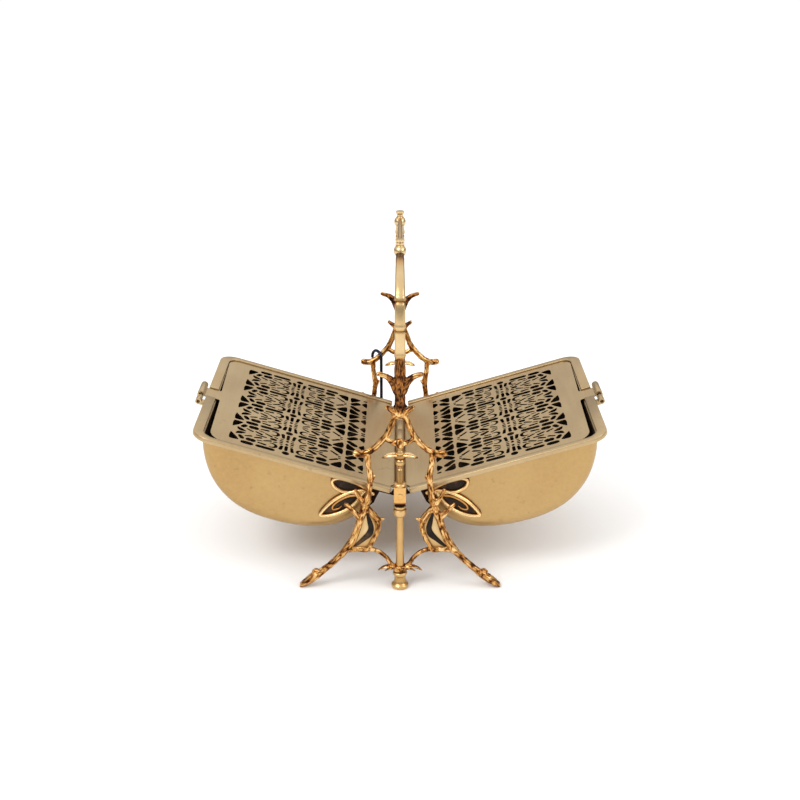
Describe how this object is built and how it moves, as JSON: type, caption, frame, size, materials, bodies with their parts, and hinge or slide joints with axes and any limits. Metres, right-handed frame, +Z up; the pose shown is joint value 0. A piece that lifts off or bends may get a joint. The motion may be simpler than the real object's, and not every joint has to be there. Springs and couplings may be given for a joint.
{
  "type": "folding box on stand",
  "caption": "Folding brass box: two D-shaped buckets with hinged pierced lids swing on one pin between twig-shaped end frames joined by a bail handle; a wire hook hangs at the back.",
  "frame": {"origin": "on the ground below the middle of the hinge pin", "axes": "+Z up, Y along the hinge pin, X towards the right bucket's outer edge; front is -Y"},
  "size_m": [0.3062, 0.2, 0.245],
  "materials": {
    "cast_brass": "antiqued casting, dark in the recesses",
    "turned_brass": "satin, lightly darkened",
    "handle_brass": "satin",
    "bucket_brass": "satin, brushed",
    "lid_brass": "satin, paler",
    "hook_steel": "blued, glossy"
  },
  "bodies": {
    "stand": {"back_arch": "cast_brass", "back_brace": "cast_brass", "back_column": "turned_brass", "back_finial": "turned_brass", "back_leaves": "cast_brass", "back_left_branch": "cast_brass", "back_left_leg": "cast_brass", "back_left_post": "cast_brass", "back_left_web": "cast_brass", "back_pivot_block": "turned_brass", "back_right_branch": "cast_brass", "back_right_leg": "cast_brass", "back_right_post": "cast_brass", "back_right_web": "cast_brass", "back_spacer": "turned_brass", "front_arch": "cast_brass", "front_brace": "cast_brass", "front_column": "turned_brass", "front_finial": "turned_brass", "front_leaves": "cast_brass", "front_left_branch": "cast_brass", "front_left_leg": "cast_brass", "front_left_post": "cast_brass", "front_left_web": "cast_brass", "front_pivot_block": "turned_brass", "front_right_branch": "cast_brass", "front_right_leg": "cast_brass", "front_right_post": "cast_brass", "front_right_web": "cast_brass", "front_spacer": "turned_brass", "handle_back_knob": "handle_brass", "handle_back_strap": "handle_brass", "handle_front_knob": "handle_brass", "handle_front_strap": "handle_brass", "handle_grip": "handle_brass", "hinge_pin": "turned_brass"},
    "left_bucket": {"left_back_ear": "bucket_brass", "left_back_ornament": "cast_brass", "left_catch": "lid_brass", "left_front_ear": "bucket_brass", "left_front_ornament": "cast_brass", "left_rim": "lid_brass", "left_shell": "bucket_brass"},
    "right_bucket": {"right_back_ear": "bucket_brass", "right_back_ornament": "cast_brass", "right_catch": "lid_brass", "right_front_ear": "bucket_brass", "right_front_ornament": "cast_brass", "right_rim": "lid_brass", "right_shell": "bucket_brass"},
    "left_lid_body": {"left_lid": "lid_brass", "left_lid_hinge": "lid_brass", "left_lid_roll": "lid_brass"},
    "right_lid_body": {"right_lid": "lid_brass", "right_lid_hinge": "lid_brass", "right_lid_roll": "lid_brass"},
    "wire_hook": {"hook": "hook_steel"}
  },
  "joints": [
    {"name": "left_bucket_fold", "type": "hinge", "parent": "stand", "child": "left_bucket", "pos_m": [0, 0, 0.074], "axis": [0, -1, 0], "range_deg": [-73, 0]},
    {"name": "right_bucket_fold", "type": "hinge", "parent": "stand", "child": "right_bucket", "pos_m": [0, 0, 0.074], "axis": [0, 1, 0], "range_deg": [-73, 0]},
    {"name": "left_lid_lift", "type": "hinge", "parent": "left_bucket", "child": "left_lid_body", "pos_m": [0, 0, 0.074], "axis": [0, 1, 0], "range_deg": [0, 73]},
    {"name": "right_lid_lift", "type": "hinge", "parent": "right_bucket", "child": "right_lid_body", "pos_m": [0, 0, 0.074], "axis": [0, -1, 0], "range_deg": [0, 73]},
    {"name": "hook_swing", "type": "hinge", "parent": "stand", "child": "wire_hook", "pos_m": [-0.0156, 0.09385, 0.112], "axis": [1, 0, 0], "range_deg": [-4, 8]}
  ]
}
